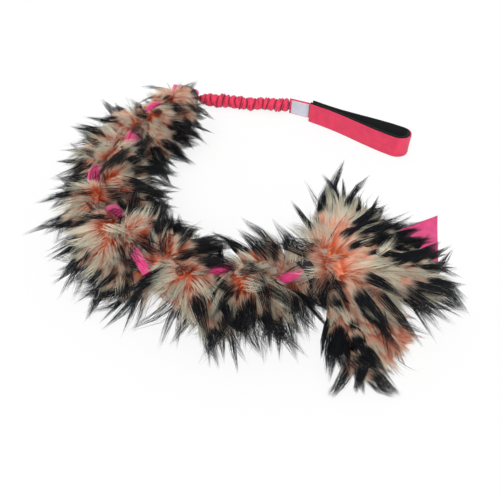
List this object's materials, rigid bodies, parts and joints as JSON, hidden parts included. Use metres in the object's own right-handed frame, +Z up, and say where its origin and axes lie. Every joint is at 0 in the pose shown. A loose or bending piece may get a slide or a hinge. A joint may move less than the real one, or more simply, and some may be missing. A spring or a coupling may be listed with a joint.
{
  "type": "braided tug toy",
  "caption": "Dog tug toy: fur and fleece strips in a three-strand braid with a loose tassel, on a stretchy ruched lead with a padded hand loop.",
  "frame": {"origin": "centre of the toy's box, on the floor it lies on", "axes": "+Z up from the floor, +Y from the tassel towards the strap and sleeve, +X to the right with the tassel in front"},
  "size_m": [0.4634, 0.5238, 0.0797],
  "materials": {
    "faux_fur": "long pile faux fur, coral roots through peach and cream to black tips",
    "pink_fleece": "hot pink anti-pill fleece, matt",
    "pink_webbing": "coral pink woven webbing, satin",
    "black_lining": "black padded knit lining, matt",
    "label_cloth": "pale woven label, bare",
    "pink_thread": "pink sewing thread",
    "white_thread": "white sewing thread",
    "elastic": "covered elastic cord",
    "dark_cord": "dark whipping cord"
  },
  "bodies": {
    "braid": {"fur_strip_upper": "faux_fur", "fur_strip_lower": "faux_fur", "fleece_strip": "pink_fleece", "top_whipping": "dark_cord", "tail_whipping": "dark_cord"},
    "strap": {"strap_loop": "pink_webbing", "strap_bar_tack": "pink_thread"},
    "bungee": {"ruched_sleeve": "pink_webbing", "elastic_core": "elastic"},
    "handle": {"neck_webbing": "pink_webbing", "neck_bar_tack": "pink_thread", "label": "label_cloth", "label_stitch": "white_thread", "handle_webbing": "pink_webbing", "handle_lining": "black_lining", "edge_stitch_top": "pink_thread", "edge_stitch_bottom": "pink_thread", "seam_box_stitch": "pink_thread"},
    "tassel": {"fur_tail_lower": "faux_fur", "fleece_tail": "pink_fleece"},
    "upper_tail": {"fur_tail_upper": "faux_fur"}
  },
  "joints": [
    {"name": "strap_swing", "type": "hinge", "parent": "braid", "child": "strap", "pos_m": [-0.11435, 0.24754, 0.0115], "axis": [0, 0, 1], "range_deg": [-12, 90]},
    {"name": "bungee_lift", "type": "hinge", "parent": "strap", "child": "bungee", "pos_m": [-0.08698, 0.24162, 0.0115], "axis": [-0.2113, -0.9774, 0], "range_deg": [0, 60]},
    {"name": "bungee_stretch", "type": "slide", "parent": "bungee", "child": "handle", "axis": [0.9774, -0.2113, 0], "range_m": [0, 0.12], "stiffness_N_per_m": 300, "deforming": ["ruched_sleeve", "elastic_core"]},
    {"name": "tassel_swing", "type": "hinge", "parent": "braid", "child": "tassel", "pos_m": [0.06483, -0.14926, 0.03], "axis": [0, 0, 1], "range_deg": [-10, 45]},
    {"name": "upper_tail_lift", "type": "hinge", "parent": "tassel", "child": "upper_tail", "pos_m": [0.06483, -0.14926, 0.03], "axis": [0.1132, -0.9936, 0], "range_deg": [0, 50]}
  ]
}
